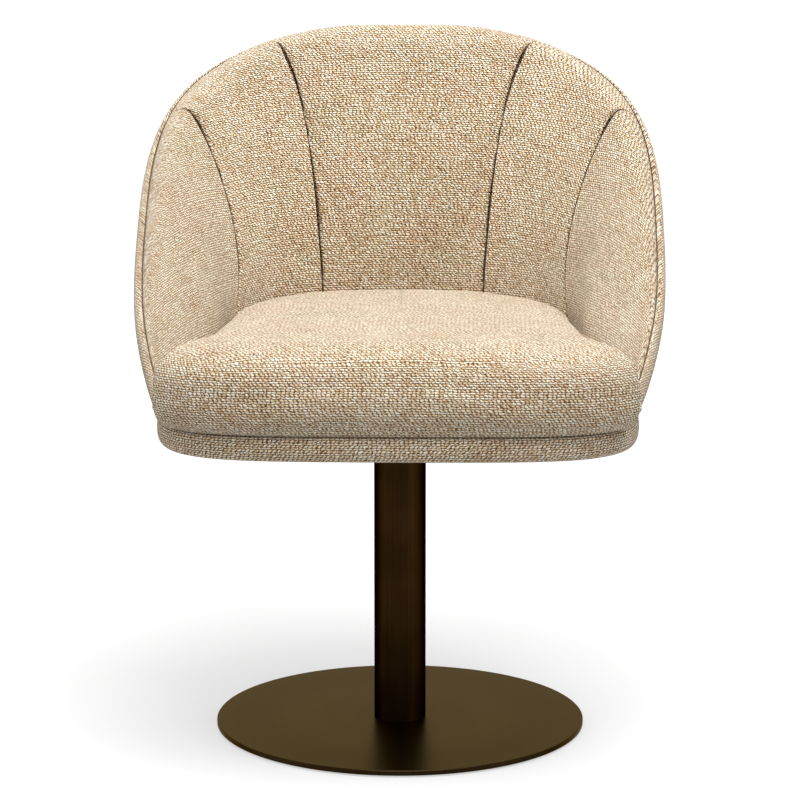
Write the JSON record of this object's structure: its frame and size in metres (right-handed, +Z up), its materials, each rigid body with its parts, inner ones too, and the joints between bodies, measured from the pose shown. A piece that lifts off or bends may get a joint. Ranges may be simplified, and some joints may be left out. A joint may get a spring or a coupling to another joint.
{
  "type": "swivel dining chair",
  "caption": "Upholstered tub dining chair with channelled back panels that swivels on a round steel column and flat disc base.",
  "frame": {"origin": "on the floor under the swivel axis, at the underside of the glides", "axes": "+Z up along the swivel axis, -Y towards the front of the seat, +X to the sitter's left"},
  "size_m": [0.6019, 0.5642, 0.8004],
  "materials": {
    "bronze_steel": "dark brushed bronze lacquer, satin",
    "plain_steel": "zinc plated",
    "black_steel": "black powder coat",
    "bush_nylon": "natural nylon",
    "glide_felt": "black polyethylene glides",
    "plywood": "unfinished birch plywood",
    "foam": "cut upholstery foam",
    "dust_cloth": "black non-woven cloth",
    "woven_fabric": "chunky cream and taupe woven upholstery fabric"
  },
  "bodies": {
    "base": {"floor_glides": "glide_felt", "base_disc": "bronze_steel", "foot_screws": "plain_steel", "column_foot": "plain_steel", "column_tube": "bronze_steel", "bearing_hub": "plain_steel", "lower_bush": "bush_nylon", "upper_bush": "bush_nylon", "thrust_washer": "bush_nylon"},
    "seat": {"spindle": "plain_steel", "snap_ring": "plain_steel", "retaining_washer": "plain_steel", "swivel_plate": "black_steel", "plate_washers": "plain_steel", "plate_bolts": "plain_steel", "tee_nuts": "plain_steel", "seat_board": "plywood", "edge_wrap": "woven_fabric", "dust_cover": "dust_cloth", "seat_foam": "foam", "seat_cover": "woven_fabric", "tub_frame": "plywood", "tub_screws": "plain_steel", "tub_foam": "foam", "arm_tip_foams": "foam", "outer_cover": "woven_fabric", "back_panel_centre": "woven_fabric", "back_panel_left": "woven_fabric", "back_panel_right": "woven_fabric", "arm_panel_left": "woven_fabric", "arm_panel_right": "woven_fabric"}
  },
  "joints": [
    {"name": "seat_swivel", "type": "hinge", "parent": "base", "child": "seat", "pos_m": [0, 0, 0.3], "axis": [0, 0, 1], "continuous": true}
  ]
}
